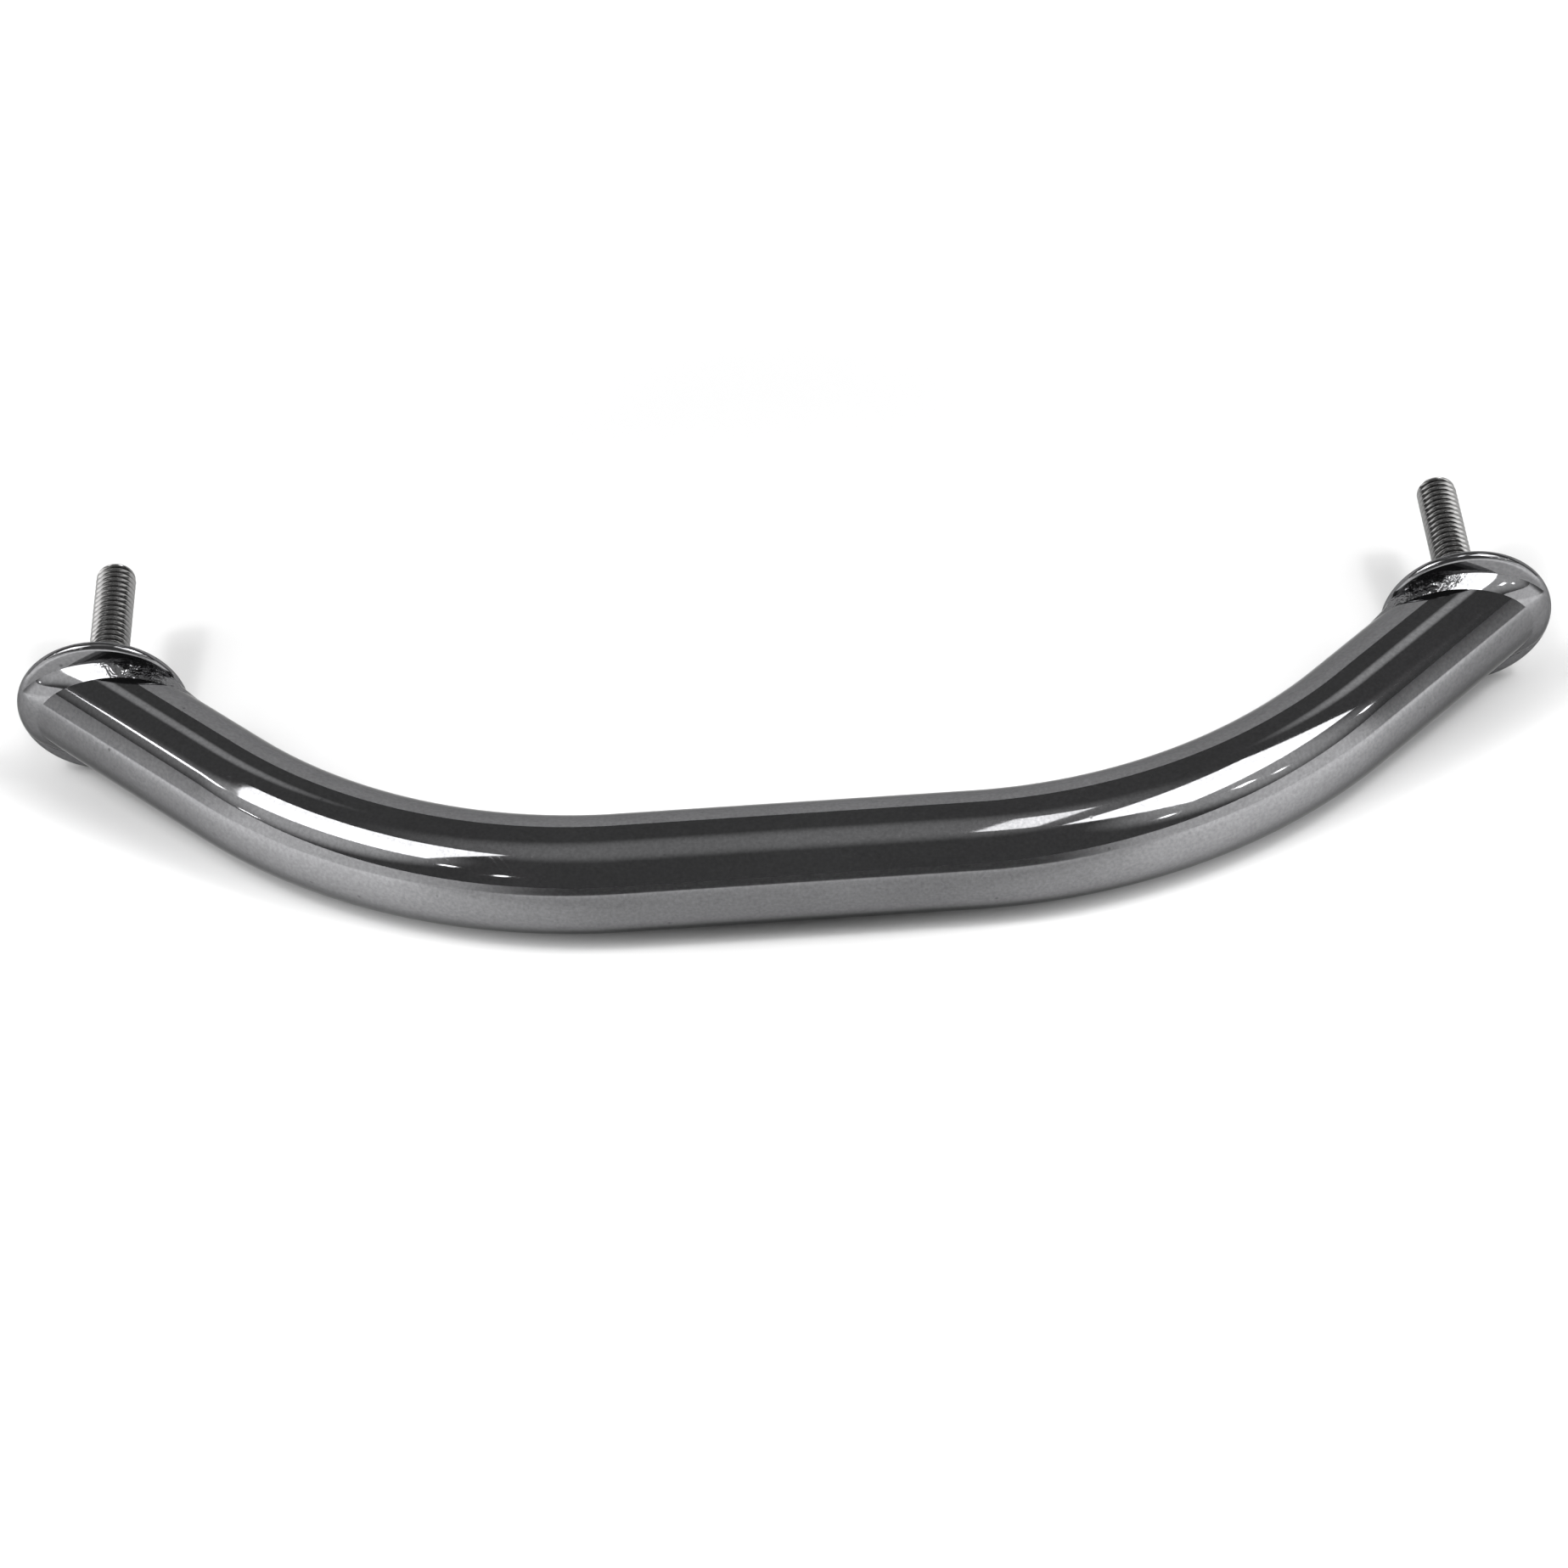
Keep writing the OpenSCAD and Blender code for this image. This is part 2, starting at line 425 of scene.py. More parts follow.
def grid_of_faces(tree, rows, columns):
    """A flat grid of points in a Geometry Nodes tree, and each point's row and column number."""
    grid = new_node(tree, "GeometryNodeMeshGrid", {"Vertices X": rows, "Vertices Y": columns})
    index = Term(tree, tree.nodes.new("GeometryNodeInputIndex").outputs[0])
    row = (index / columns).step("FLOOR")
    return grid.outputs["Mesh"], row, index - row * columns


def finish_surface(tree, mesh, place, uv, extra=()):
    """Moves the grid's points to their place, stores what the finish reads, and closes the seams."""
    position = new_node(tree, "ShaderNodeCombineXYZ", dict(enumerate(place)))
    unwrapped = new_node(tree, "ShaderNodeCombineXYZ", dict(enumerate(uv)))
    stored = new_node(
        tree, "GeometryNodeStoreNamedAttribute",
        {"Geometry": mesh, "Name": "UVMap", "Value": unwrapped.outputs[0]},
        data_type="FLOAT2", domain="CORNER",
    )
    for name, value in dict(extra).items():
        stored = new_node(
            tree, "GeometryNodeStoreNamedAttribute",
            {"Geometry": stored.outputs[0], "Name": name, "Value": value},
            data_type="FLOAT", domain="POINT",
        )
    placed = new_node(
        tree, "GeometryNodeSetPosition",
        {"Geometry": stored.outputs[0], "Position": position.outputs[0]},
    )
    merged = new_node(
        tree, "GeometryNodeMergeByDistance", {"Geometry": placed.outputs[0], "Distance": SEAM},
    )
    smooth = new_node(
        tree, "GeometryNodeSetShadeSmooth", {"Geometry": merged.outputs[0], "Shade Smooth": True},
        domain="FACE",
    )
    edge_angle = Term(tree, tree.nodes.new("GeometryNodeInputMeshEdgeAngle").outputs[0])
    sharp = new_node(
        tree, "GeometryNodeSetShadeSmooth",
        {
            "Geometry": smooth.outputs[0],
            "Selection": edge_angle.over(SHARP),
            "Shade Smooth": False,
        },
        domain="EDGE",
    )
    return sharp.outputs[0]


def end_surface(tree, geometry, material):
    realized = new_node(tree, "GeometryNodeRealizeInstances", {"Geometry": geometry})
    painted = new_node(
        tree, "GeometryNodeSetMaterial", {"Geometry": realized.outputs[0], "Material": material},
    )
    end_tree(tree, {"Geometry": painted.outputs[0]})


def grow(name, tree, values):
    """Runs a Geometry Nodes tree, and returns what it makes as a plain mesh."""
    holder = put(name, bpy.data.meshes.new(name))
    modifier = holder.modifiers.new("Shape", "NODES")
    modifier.node_group = tree
    for item in tree.interface.items_tree:
        if item.in_out == "INPUT" and item.name in values:
            modifier[item.identifier] = values[item.name]
    graph = bpy.context.evaluated_depsgraph_get()
    mesh = bpy.data.meshes.new_from_object(holder.evaluated_get(graph))
    holder.modifiers.clear()
    bpy.data.objects.remove(holder)
    return mesh


def turn_outwards(mesh):
    """Flips a closed mesh whose faces point inwards."""
    mesh.calc_loop_triangles()
    points = np.empty(len(mesh.vertices) * 3)
    mesh.vertices.foreach_get("co", points)
    corners = np.empty(len(mesh.loop_triangles) * 3, np.int32)
    mesh.loop_triangles.foreach_get("vertices", corners)
    a, b, c = points.reshape(-1, 3)[corners.reshape(-1, 3)].transpose(1, 0, 2)
    if (np.cross(a, b) * c).sum() < 0:
        mesh.flip_normals()


def closed_ring(name, sections, length_round, materials, face_materials=None):
    """A closed mesh from equal sections, each a closed loop of points, set round in a ring.
    Its UV map holds the distance round the ring and the distance round the section."""
    sections = np.array(sections)
    count, across = sections.shape[:2]
    i, j = np.meshgrid(np.arange(count), np.arange(across), indexing="ij")
    i, j = i.ravel(), j.ravel()
    next_i, next_j = (i + 1) % count, (j + 1) % across
    faces = np.stack([
        i * across + j, next_i * across + j, next_i * across + next_j, i * across + next_j,
    ], 1)
    mesh = bpy.data.meshes.new(name)
    mesh.from_pydata(sections.reshape(-1, 3).tolist(), [], faces.tolist())
    steps = np.linalg.norm(np.roll(sections[0], -1, 0) - sections[0], axis=1)
    across_at = np.concatenate([[0], np.cumsum(steps)])
    round_at = np.linspace(0, length_round, count + 1)
    uv = np.stack([
        np.stack([round_at[i], across_at[j]], 1),
        np.stack([round_at[i + 1], across_at[j]], 1),
        np.stack([round_at[i + 1], across_at[j + 1]], 1),
        np.stack([round_at[i], across_at[j + 1]], 1),
    ], 1)
    layer = mesh.uv_layers.new(name="UVMap")
    layer.data.foreach_set("uv", uv.ravel())
    for material in materials:
        mesh.materials.append(material)
    if face_materials is not None:
        mesh.polygons.foreach_set("material_index", np.array(face_materials, np.int32)[j])
    mesh.update()
    turn_outwards(mesh)
    mesh.shade_smooth()
    mesh.set_sharp_from_angle(angle=SHARP)
    return mesh


def revolved(profile, steps):
    """Sections of a closed profile of (radius, height) points, turned about Z."""
    turns = np.linspace(0, 2 * math.pi, steps, endpoint=False)
    return [[(r * math.cos(t), r * math.sin(t), h) for r, h in profile] for t in turns]


def arc(centre, radius, start, end, steps):
    """Points (radius, height) along an arc, with its angles in degrees."""
    return [
        (centre[0] + radius * math.cos(a), centre[1] + radius * math.sin(a))
        for a in np.radians(np.linspace(start, end, steps + 1))
    ]


def add_piece(name, mesh, node):
    """Makes the object of a finished mesh, which then rides on the rail and stands for its CAD node."""
    piece = put(name, mesh)
    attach(piece, "root")
    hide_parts(node)
    return piece


# ---- Finishes ----


def noise_at(tree, place, **inputs):
    """The value of a noise texture at a place, between 0 and 1."""
    texture = new_node(tree, "ShaderNodeTexNoise", {"Vector": place, **inputs})
    return Term(tree, texture.outputs["Fac"])


def wear_group():
    """Faint marks on steel: lines left by polishing, hairline scratches, pits, fine grain and haze.
    The polishing lines follow the UV map's first direction, the rest lies in Object space."""
    found = bpy.data.node_groups.get("Steel wear")
    if found:
        return found
    tree, given = new_tree(
        "Steel wear", "ShaderNodeTree",
        {
            "Color": "Color", "Roughness": "Float", "Line Length": "Float", "Line Width": "Float",
            "Line Strength": "Float", "Haze": "Float", "Scratches": "Float", "Pits": "Float",
            "Grain": "Float",
        },
        {"Color": "Color", "Roughness": "Float", "Height": "Float"},
    )
    place = tree.nodes.new("ShaderNodeTexCoord")
    across = new_node(tree, "ShaderNodeSeparateXYZ", {0: place.outputs["UV"]})
    u, v = (Term(tree, across.outputs[k]) for k in range(2))
    stretched = new_node(
        tree, "ShaderNodeCombineXYZ", {0: u / given["Line Length"], 1: v / given["Line Width"]},
    )
    line = noise_at(tree, stretched.outputs[0], Scale=1, Detail=4, Roughness=0.65) - 0.5

    spot = place.outputs["Object"]
    haze = noise_at(tree, spot, Scale=55, Detail=3, Roughness=0.55) - 0.5
    grain = (noise_at(tree, spot, Scale=1500, Detail=2) - 0.5) * given["Grain"]

    # Hairlines: thin level lines of a slow, warped noise, broken up by a second one
    swirl = noise_at(tree, spot, Scale=38, Detail=1, Distortion=1.6)
    broken = noise_at(tree, spot, Scale=90, Detail=2)
    level = (swirl * 9).step("FRACT")
    hairline = (1 - (level - 0.5).size().eased(0.0, 0.022)) * broken.eased(0.52, 0.6)

    # Pits: the middles of a few cells, picked by each cell's own random colour
    cells = new_node(tree, "ShaderNodeTexVoronoi", {"Vector": spot, "Scale": 330})
    cell = new_node(tree, "ShaderNodeSeparateColor", {0: cells.outputs["Color"]})
    chosen = Term(tree, cell.outputs[0]).over(0.93)
    pit = (1 - Term(tree, cells.outputs["Distance"]).eased(0.06, 0.16)) * chosen

    tone = 1 + haze * given["Haze"] * 0.5 + line * given["Line Strength"] * 0.4 + grain
    marked = tone * (1 - pit * given["Pits"] * 0.55) * (1 + hairline * given["Scratches"] * 0.25)
    shade = new_node(
        tree, "ShaderNodeVectorMath", {0: given["Color"], "Scale": marked}, operation="SCALE",
    )
    rough = (
        given["Roughness"] * (1 + haze * given["Haze"] * 3 + line * given["Line Strength"] * 2.5)
        + hairline * given["Scratches"] * 0.12
        + pit * given["Pits"] * 0.35
    ).at_least(0.02)
    height = line * given["Line Strength"] - hairline * given["Scratches"] * 0.5 - pit * given["Pits"]
    end_tree(tree, {"Color": shade.outputs[0], "Roughness": rough, "Height": height})
    return tree


def steel(name, color, roughness, bump, refine=None, **wear):
    """A steel whose marks come from the wear group. Refine then adds what one steel has of its own
    to the new material's tree and shader."""
    found = bpy.data.materials.get(name)
    if found:
        return found
    material = bpy.data.materials.new(name)
    material.use_nodes = True
    tree = material.node_tree
    shader = tree.nodes["Principled BSDF"]
    shader.inputs["Metallic"].default_value = 1.0
    shader.inputs["Specular Tint"].default_value = (0.5, 0.5, 0.5, 1)
    group = new_node(tree, "ShaderNodeGroup", node_tree=wear_group())
    group.inputs["Color"].default_value = (*color, 1)
    group.inputs["Roughness"].default_value = roughness
    for title, value in wear.items():
        group.inputs[title.replace("_", " ").title()].default_value = value
    relief = new_node(
        tree, "ShaderNodeBump",
        {"Height": group.outputs["Height"], "Strength": 1.0, "Distance": bump},
    )
    tree.links.new(group.outputs["Color"], shader.inputs["Base Color"])
    tree.links.new(group.outputs["Roughness"], shader.inputs["Roughness"])
    tree.links.new(relief.outputs["Normal"], shader.inputs["Normal"])
    if refine:
        refine(tree, shader)
    return material


def polished_steel():
    finish = bpy.context.scene.grab_rail_finish
    return steel(
        "mirror polished stainless", finish.polished, finish.polish_roughness, bump=0.0012 * MM,
        line_length=34 * MM, line_width=0.45 * MM, line_strength=0.7,
        haze=0.5, scratches=0.5, pits=0.6, grain=0.55,
    )


def add_lumps(tree, shader):
    """Small lumps left in the neck weld at the leg's inner side."""
    place = tree.nodes.new("ShaderNodeTexCoord")
    along = Term(tree, new_node(tree, "ShaderNodeSeparateXYZ", {0: place.outputs["UV"]}).outputs[0])
    inner = (along / NECK_ROUND - 0.5).size().eased(0.23, 0.3)
    lumps = noise_at(
        tree, place.outputs["Object"], Scale=520, Detail=2.5, Roughness=0.6, Distortion=0.3,
    )
    relief = new_node(
        tree, "ShaderNodeBump",
        {
            "Height": lumps * inner, "Strength": 1.0, "Distance": 0.6 * MM,
            "Normal": shader.inputs["Normal"].links[0].from_socket,
        },
    )
    tree.links.new(relief.outputs["Normal"], shader.inputs["Normal"])


def dressed_weld():
    """The polished neck weld. It is mirror smooth at the leg's outer end and lumpy at the inner."""
    finish = bpy.context.scene.grab_rail_finish
    return steel(
        "dressed stainless weld", finish.polished, finish.polish_roughness * 1.4, bump=0.0012 * MM,
        refine=add_lumps, line_length=9 * MM, line_width=0.3 * MM, line_strength=0.6,
        haze=0.6, scratches=0.8, pits=0.8, grain=0.5,
    )


def ground_steel():
    finish = bpy.context.scene.grab_rail_finish
    return steel(
        "ground stainless", finish.ground, roughness=0.3, bump=0.004 * MM,
        line_length=9 * MM, line_width=0.12 * MM, line_strength=0.8,
        haze=0.5, scratches=0.8, pits=0.5, grain=0.3,
    )


def roughen_and_shade_roots(tree, shader):
    """Darkens the thread's roots as painted shade, and roughens them. The mesh marks the roots with
    their depth.
    """
    stored = new_node(tree, "ShaderNodeAttribute", attribute_name="thread_depth")
    depth = Term(tree, stored.outputs["Fac"])
    color = shader.inputs["Base Color"].links[0].from_socket
    # Painted shade: the deeper a point lies in the thread, the darker its colour, down to a quarter at
    # the roots
    shaded_roots = new_node(
        tree, "ShaderNodeVectorMath", {0: color, "Scale": 1 - depth.eased(0.15, 0.9) * 0.75},
        operation="SCALE",
    )
    tree.links.new(shaded_roots.outputs[0], shader.inputs["Base Color"])
    rough = Term(tree, shader.inputs["Roughness"].links[0].from_socket)
    plug(tree, shader.inputs["Roughness"], rough + depth * 0.1)


def thread_steel():
    """Rolled thread: bright crests, and roots darkened with painted shade and roughened."""
    finish = bpy.context.scene.grab_rail_finish
    return steel(
        "rolled stainless thread", finish.thread, roughness=0.13, bump=0.004 * MM,
        refine=roughen_and_shade_roots, line_length=3 * MM, line_width=0.16 * MM, line_strength=0.6,
        haze=0.6, scratches=0.3, pits=0.6, grain=0.5,
    )


def add_heat_tint(tree, shader):
    """A trace of straw and of blue, left by the heat."""
    place = tree.nodes.new("ShaderNodeTexCoord")
    patches = noise_at(tree, place.outputs["Object"], Scale=260, Detail=2)
    tint = new_node(
        tree, "ShaderNodeMix",
        {"Factor": patches, "A": (1.0, 0.9, 0.72, 1), "B": (0.86, 0.92, 1.0, 1)},
        data_type="RGBA",
    )
    color = shader.inputs["Base Color"].links[0].from_socket
    tinted = new_node(
        tree, "ShaderNodeVectorMath", {0: color, 1: tint.outputs[2]}, operation="MULTIPLY",
    )
    tree.links.new(tinted.outputs[0], shader.inputs["Base Color"])


def weld_steel():
    """Cleaned weld bead, tinted by the heat."""
    finish = bpy.context.scene.grab_rail_finish
    return steel(
        "cleaned stainless weld", finish.weld, roughness=0.34, bump=0.02 * MM,
        refine=add_heat_tint, line_length=0.9 * MM, line_width=0.5 * MM, line_strength=0.8,
        haze=0.8, scratches=0.2, pits=0.8, grain=0.4,
    )


# ---- The bent tube ----


def rail_line():
    """Half length of the grip and length of a leg's centre line, down to the flange's top."""
    rail = bpy.context.scene.grab_rail
    grip_h = RAIL_HEIGHT - TUBE_R
    angle = rail.leg_angle
    tangent = rail.bend_radius * math.tan(angle / 2)
    grip_half = STUD_X - (grip_h - rail.leg_cross) / math.tan(angle) - tangent
    leg = (grip_h - rail.bend_radius * (1 - math.cos(angle)) - FLANGE_T) / math.sin(angle)
    return grip_h, grip_half, leg


def tube_tree():
    """Sweeps a tube's wall along the rail's centre line, with both feet cut on the flanges' tops.
    The grid's rows run out along the tube's skin and back along its bore."""
    tree, given = new_tree(
        "Bent tube", "GeometryNodeTree",
        {
            "Radius": "Float", "Bore Radius": "Float", "Grip Height": "Float", "Grip Half": "Float",
            "Bend Radius": "Float", "Leg Angle": "Float", "Leg Length": "Float",
            "Rings": "Int", "Faces Round": "Int", "Material": "Material",
        },
        {"Geometry": "Geometry"},
    )
    rings, angle, bend_r = given["Rings"], given["Leg Angle"], given["Bend Radius"]
    mesh, row, column = grid_of_faces(tree, rings * 2 + 3, given["Faces Round"] + 1)

    inside = row.over(rings + 0.5) * (1 - row.over(rings * 2 + 1.5))
    radius = given["Radius"] + (given["Bore Radius"] - given["Radius"]) * inside
    share = (rings + 0.5 - (rings + 0.5 - row).size()).at_least(0) / rings

    bend_length = bend_r * angle
    half = given["Grip Half"] + bend_length + given["Leg Length"]
    along = (share * 2 - 1) * half
    reach = along.size()
    straight = reach.at_most(given["Grip Half"])
    turn = ((reach - given["Grip Half"]) / bend_r).at_least(0).at_most(angle)
    run = (reach - given["Grip Half"] - bend_length).at_least(0)

    spin = column / given["Faces Round"] * (2 * math.pi)
    outward = radius * spin.cos()
    slant = run / given["Leg Length"] * outward * angle.cos() / angle.sin()
    x = straight + bend_r * turn.sin() + (run + slant) * turn.cos() + outward * turn.sin()
    y = (
        bend_r * (1 - turn.cos()) - given["Grip Height"]
        + (run + slant) * turn.sin() - outward * turn.cos()
    )
    side = along.over(0) * 2 - 1
    geometry = finish_surface(tree, mesh, (x * side, y, radius * spin.sin()), (along, spin * radius))
    end_surface(tree, geometry, given["Material"])
    return tree


class GRABRAIL_OT_tube(bpy.types.Operator):
    """Build the bent tube with its slant-cut feet"""

    bl_idname = "grab_rail.tube"
    bl_label = "Bent tube"

    def execute(self, context):
        rail = context.scene.grab_rail
        grip_h, grip_half, leg = rail_line()
        mesh = grow("bent_tube", tube_tree(), {
            "Radius": TUBE_R, "Bore Radius": TUBE_R - rail.wall, "Grip Height": grip_h,
            "Grip Half": grip_half, "Bend Radius": rail.bend_radius, "Leg Angle": rail.leg_angle,
            "Leg Length": leg, "Rings": rail.rings, "Faces Round": rail.faces_round,
            "Material": polished_steel(),
        })
        turn_outwards(mesh)
        add_piece("bent_tube", mesh, "rail_tube")
        return {"FINISHED"}


# ---- Flanges ----


def rim_radius():
    return FLANGE_T / 2


def flat_radius():
    return FLANGE_R - rim_radius()


def rim_height(r):
    """Height of a flange's upper surface at a distance from the stud's axis."""
    rim = rim_radius()
    past = r - flat_radius()
    return FLANGE_T if past <= 0 else rim + math.sqrt(max(0.0, rim * rim - past * past))


class GRABRAIL_OT_flanges(bpy.types.Operator):
    """Build the two round-rimmed flanges with their sealant recesses"""

    bl_idname = "grab_rail.flanges"
    bl_label = "Flanges"

    def execute(self, context):
        flange = context.scene.grab_rail_flange
        hole = context.scene.grab_rail_stud.shoulder_r
        recess = flat_radius() - flange.land
        top = [(r, FLANGE_T) for r in np.linspace(hole, flat_radius(), 6)[:-1]]
        rim = arc((flat_radius(), rim_radius()), rim_radius(), 90, -90, 28)
        edge = 0.12 * MM
        underside = [
            (recess + flange.recess_draft + edge, 0.0),
            (recess + flange.recess_draft, edge / 2),
            (recess + edge, RECESS_DEPTH - edge / 2),
            (recess, RECESS_DEPTH),
            (hole, RECESS_DEPTH),
        ]
        profile = top + rim + underside
        ground = [0] * (len(top) + len(rim) - 2) + [1] * (len(underside) + 2)
        for side in SIDES:
            mesh = closed_ring(
                f"{side}_round_flange", revolved(profile, flange.faces_round), 2 * math.pi * FLANGE_R,
                [polished_steel(), ground_steel()], ground,
            )
            mesh.transform(AT_FOOT[side])
            add_piece(f"{side}_round_flange", mesh, f"{side}_flange")
        return {"FINISHED"}


# ---- Neck welds ----


def neck_section(turn):
    """One closed section of the hollow fillet between a leg's slanted foot and its flange.
    The turn is in degrees, and 0 at the foot's outer end. The fillet dies out at its inner end."""
    rail = bpy.context.scene.grab_rail
    sine, cosine = math.sin(rail.leg_angle), math.cos(rail.leg_angle)
    shift = (FLANGE_T - rail.leg_cross) * cosine / sine
    # Degrees over which the weld dies out, and steps along its face and over the flange
    fade, face_steps, rim_steps = 30, 14, 7
    t = math.radians(turn)
    outward, inward = max(0.0, math.cos(t)), max(0.0, -math.cos(t))

    def skin(up, lift=0.0):
        return np.array([
            (TUBE_R + lift) / sine * math.cos(t) - shift - up * cosine,
            (TUBE_R + lift) * math.sin(t),
            FLANGE_T + up * sine,
        ])

    def round_leg(side, outer, inner):
        return side + (outer - side) * outward ** 2 + (inner - side) * inward ** 2

    left = min(1.0, (180 - abs(turn)) / fade)
    up = round_leg(rail.weld_run, rail.weld_run_out, rail.weld_run_in) * left * left * (3 - 2 * left)
    root, top = skin(0), skin(up)
    root_r = math.hypot(root[0], root[1])
    aim = root[:2] / root_r
    toe_r = max(root_r, min(root_r + rail.weld_leg, FLANGE_R - rail.weld_inset))
    toe = np.array([*(aim * toe_r), rim_height(toe_r)])
    fullness = round_leg(rail.weld_fullness, rail.weld_fullness, rail.weld_fullness_in)
    crown = skin(0, 2 * rail.weld_crown * outward ** 2) - root
    pull = root * (1 - fullness) + (toe + top) / 2 * fullness + crown
    # The lumps start a little past the leg's sides, and stand out from the corner that the weld fills
    proud = (toe + top) / 2 - root
    uneven = proud / np.linalg.norm(proud) * rail.weld_lumps * min(1.0, inward * 4) * left
    face = []
    for s in np.linspace(0, 1, face_steps + 1):
        point = toe * (1 - s) ** 2 + pull * 2 * s * (1 - s) + top * s * s
        face.append(point + uneven * 4 * s * (1 - s) * noise.noise(Vector(point / rail.lump_size)))
    hidden = [
        np.array([*(aim * r), rim_height(r)])
        for r in np.linspace(min(root_r, flat_radius()), toe_r, rim_steps + 1)[:-1]
    ]
    return face + [root] + hidden


class GRABRAIL_OT_neck_welds(bpy.types.Operator):
    """Build the polished fillets between the tube's feet and the flanges"""

    bl_idname = "grab_rail.neck_welds"
    bl_label = "Neck welds"

    def execute(self, context):
        steps = context.scene.grab_rail_flange.faces_round
        for name, side in SIDES.items():
            sections = [neck_section(turn) for turn in np.linspace(-180, 180, steps, endpoint=False)]
            mirrored = np.array(sections) * (side, 1, 1)
            mesh = closed_ring(f"{name}_neck_fillet", mirrored, NECK_ROUND, [dressed_weld()])
            mesh.transform(AT_FOOT[name])
            add_piece(f"{name}_neck_fillet", mesh, f"{name}_neck_weld")
        return {"FINISHED"}


# ---- Studs ----


def thread_tree():
    """A threaded rod along +Z, capped at both ends. Its rows of faces follow the helix, and are
    cut off level at the two ends. The thread fades in at the foot and ends in a rounded tip."""
    tree, given = new_tree(
        "Rolled thread", "GeometryNodeTree",
        {
            "Radius": "Float", "Pitch": "Float", "Depth": "Float", "Length": "Float", "Tip": "Float",
            "Rows Per Pitch": "Int", "Faces Round": "Int", "Material": "Material",
        },
        {"Geometry": "Geometry"},
    )
    per_pitch, pitch, length = given["Rows Per Pitch"], given["Pitch"], given["Length"]
    rows = per_pitch * ((length / pitch).step("CEIL") + 1) + 2
    mesh, row, column = grid_of_faces(tree, rows, given["Faces Round"] + 1)

    around = column / given["Faces Round"]
    spin = around * (2 * math.pi)
    raised = (row / per_pitch - 1 + around) * pitch
    height = raised.at_least(0).at_most(length)

    # 1 at a crest and 0 at a root, with flats at both
    wave = ((row / per_pitch).step("FRACT") * 2 - 1).size()
    crest = wave.eased(0.1, 0.9)
    # The thread comes in over its first turn and a half
    fade = height.eased(0, pitch * 1.5)
    sunk = (1 - crest) * fade
    plain = given["Radius"] - sunk * given["Depth"] * pitch
    past = ((height - length + given["Tip"]) / given["Tip"]).at_least(0).at_most(1)
    # The tip is rounded down to a little under the roots
    dome = given["Radius"] - given["Depth"] * pitch * 1.15 * (1 - (1 - past * past).root())
    capped = row.over(0.5) * (1 - row.over(rows - 1.5))
    radius = plain.at_most(dome) * capped
    place = (radius * spin.cos(), radius * spin.sin(), height)
    uv = (spin * given["Radius"], raised)
    geometry = finish_surface(tree, mesh, place, uv, {"thread_depth": sunk})
    end_surface(tree, geometry, given["Material"])
    return tree


def joined(name, meshes):
    """One mesh from several, with their materials and attributes."""
    objects = [put(name, mesh) for mesh in meshes]
    with bpy.context.temp_override(active_object=objects[0], selected_editable_objects=objects):
        bpy.ops.object.join()
    mesh = objects[0].data
    bpy.data.objects.remove(objects[0])
    mesh.name = name
    return mesh


class GRABRAIL_OT_studs(bpy.types.Operator):
    """Build the two threaded studs with their shoulders and heads"""

    bl_idname = "grab_rail.studs"
    bl_label = "Studs"

    def execute(self, context):
        stud = context.scene.grab_rail_stud
        tree = thread_tree()
        # The threaded rod starts this far inside the shoulder, so that the two overlap
        lap = 0.2 * MM
        shoulder = [
            (THREAD_R * 0.5, 0.0), (stud.shoulder_r, 0.0), (stud.shoulder_r, FLANGE_T),
            (HEAD_R, FLANGE_T), (HEAD_R, HEAD_TOP - stud.head_chamfer),
            (HEAD_R - stud.head_chamfer, HEAD_TOP), (THREAD_R * 0.5, HEAD_TOP),
        ]
        for side in SIDES:
            thread = grow(f"{side}_thread", tree, {
                "Radius": THREAD_R, "Pitch": stud.pitch, "Depth": stud.thread_depth,
                "Length": STUD_LENGTH + lap, "Tip": stud.tip, "Rows Per Pitch": stud.rows_per_pitch,
                "Faces Round": stud.faces_round, "Material": thread_steel(),
            })
            thread.transform(Matrix.Translation((0, 0, lap)) @ Matrix.Rotation(math.pi, 4, "X"))
            turn_outwards(thread)
            head = closed_ring(
                f"{side}_head", revolved(shoulder, stud.faces_round), 2 * math.pi * HEAD_R,
                [thread_steel()],
            )
            mesh = joined(f"{side}_threaded_stud", [thread, head])
            mesh.transform(AT_FOOT[side])
            add_piece(f"{side}_threaded_stud", mesh, f"{side}_stud")
        return {"FINISHED"}


class GRABRAIL_OT_stud_welds(bpy.types.Operator):
    """Build the rippled weld beads round the studs, inside the recesses"""

    bl_idname = "grab_rail.stud_welds"
    bl_label = "Stud welds"

    def execute(self, context):
        stud = context.scene.grab_rail_stud
        steps = context.scene.grab_rail_flange.faces_round
        leg = BEAD_R - stud.shoulder_r
        rise = RECESS_DEPTH - BEAD_LEVEL
        # Shares of the bead's size that its ripples and its slow swells take away
        ripple, swell = 0.16, 0.05
        for side in SIDES:
            sections = []
            for t in np.linspace(0, 2 * math.pi, steps, endpoint=False):
                fill = 1 - ripple * abs(math.sin(stud.ripples * t / 2)) - swell * math.sin(3 * t) ** 2
                out, down = leg * fill, rise * fill
                face = [
                    (stud.shoulder_r + out * math.cos(a), RECESS_DEPTH - down * math.sin(a))
                    for a in np.linspace(0, math.pi / 2, 9)
                ]
                profile = face + [(stud.shoulder_r, RECESS_DEPTH)]
                sections.append([(r * math.cos(t), r * math.sin(t), h) for r, h in profile])
            mesh = closed_ring(f"{side}_stud_bead", sections, 2 * math.pi * BEAD_R, [weld_steel()])
            mesh.transform(AT_FOOT[side])
            add_piece(f"{side}_stud_bead", mesh, f"{side}_stud_weld")
        return {"FINISHED"}


# ---- The studio ----


